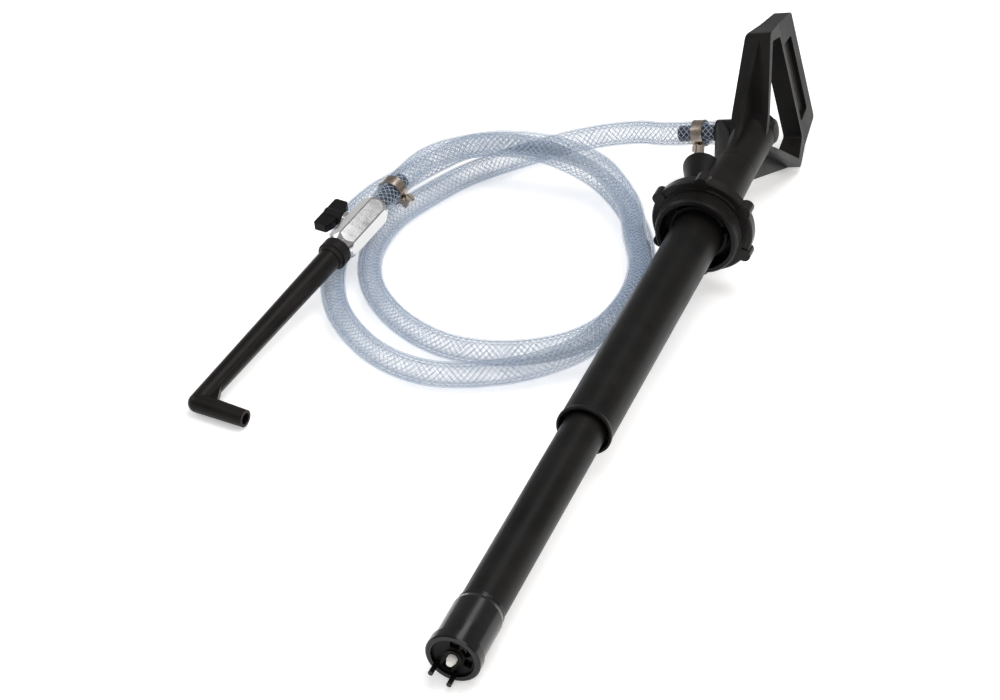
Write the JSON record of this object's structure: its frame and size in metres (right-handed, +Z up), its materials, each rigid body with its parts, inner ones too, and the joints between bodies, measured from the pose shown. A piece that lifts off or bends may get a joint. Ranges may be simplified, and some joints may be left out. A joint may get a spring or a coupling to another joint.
{
  "type": "hand-operated drum pump",
  "caption": "Hand-operated lift pump with a telescopic suction tube, threaded bung ring, D-shaped handle, clear braided hose, ball valve and angled spout.",
  "frame": {"origin": "centre of the base of the pump itself (foot, tubes, ring, neck, head and handle), on the surface it lies on", "axes": "+Y along the pump from the foot to the handle, +Z up, +X to the right seen from the foot; the hose and valve lie on the -X side"},
  "size_m": [0.3018, 0.694, 0.114],
  "materials": {
    "black_plastic": "satin",
    "ring_plastic": "satin",
    "tube_plastic": "satin",
    "cap_plastic": "glossy",
    "white_plastic": "matte",
    "seal_rubber": "matte",
    "rod_steel": "brushed",
    "clear_hose": "clear, blue tinted, with a white braid",
    "clamp_steel": "bronze tinted, worn",
    "valve_chrome": "polished",
    "valve_brass": "plain"
  },
  "bodies": {
    "barrel": {"neck": "black_plastic", "outer_tube": "tube_plastic", "tube_guide": "black_plastic", "guide_bush": "black_plastic", "rod_seal": "seal_rubber", "seal_retainer": "black_plastic", "hose": "clear_hose", "hose_valve_end": "clear_hose", "valve_clamp_band": "clamp_steel", "valve_clamp_screw": "clamp_steel", "valve_tail": "cap_plastic", "valve_body": "valve_chrome", "valve_insert": "valve_brass", "ball_seats": "white_plastic", "stem_seal": "seal_rubber", "stem_nut": "valve_chrome", "spout_nut": "black_plastic", "spout_seal": "seal_rubber"},
    "ring": {"bung_ring": "ring_plastic"},
    "suction": {"suction_tube": "tube_plastic", "stop_collar": "black_plastic", "collar_ring": "seal_rubber", "foot_cap": "cap_plastic", "foot_cage": "black_plastic", "foot_seat": "black_plastic", "foot_pins": "cap_plastic"},
    "foot_valve": {"foot_poppet": "white_plastic"},
    "plunger": {"pump_head": "black_plastic", "handle": "black_plastic", "end_cap": "black_plastic", "discharge_barb": "cap_plastic", "piston_rod": "rod_steel", "piston": "black_plastic", "piston_seal": "seal_rubber", "piston_nut": "rod_steel", "hose_head_end": "clear_hose", "head_clamp_band": "clamp_steel", "head_clamp_screw": "clamp_steel"},
    "piston_valve": {"piston_poppet": "white_plastic"},
    "valve_core": {"valve_ball": "valve_chrome", "valve_stem": "valve_brass", "valve_lever": "cap_plastic", "lever_screw": "valve_brass"},
    "outlet": {"spout": "black_plastic"}
  },
  "joints": [
    {"name": "handle_lift", "type": "slide", "parent": "barrel", "child": "plunger", "axis": [0, 0.998, 0.0631], "range_m": [0, 0.23]},
    {"name": "suction_extend", "type": "slide", "parent": "barrel", "child": "suction", "axis": [0, -0.998, -0.0631], "range_m": [0, 0.15]},
    {"name": "foot_poppet_lift", "type": "slide", "parent": "suction", "child": "foot_valve", "axis": [0, 0.998, 0.0631], "range_m": [0, 0.004]},
    {"name": "piston_poppet_lift", "type": "slide", "parent": "plunger", "child": "piston_valve", "axis": [0, 0.998, 0.0631], "range_m": [0, 0.003]},
    {"name": "ring_spin", "type": "hinge", "parent": "barrel", "child": "ring", "pos_m": [0.0028, 0.12168, 0.04621], "axis": [0, 0.998, 0.0631], "continuous": true},
    {"name": "valve_turn", "type": "hinge", "parent": "barrel", "child": "valve_core", "pos_m": [-0.22586, 0.05243, 0.03402], "axis": [-0.9912, 0.1323, 0], "range_deg": [0, 90]},
    {"name": "spout_swivel", "type": "hinge", "parent": "barrel", "child": "outlet", "pos_m": [-0.23071, 0.01606, 0.02919], "axis": [-0.1311, -0.9827, -0.1305], "range_deg": [0, 180]}
  ]
}
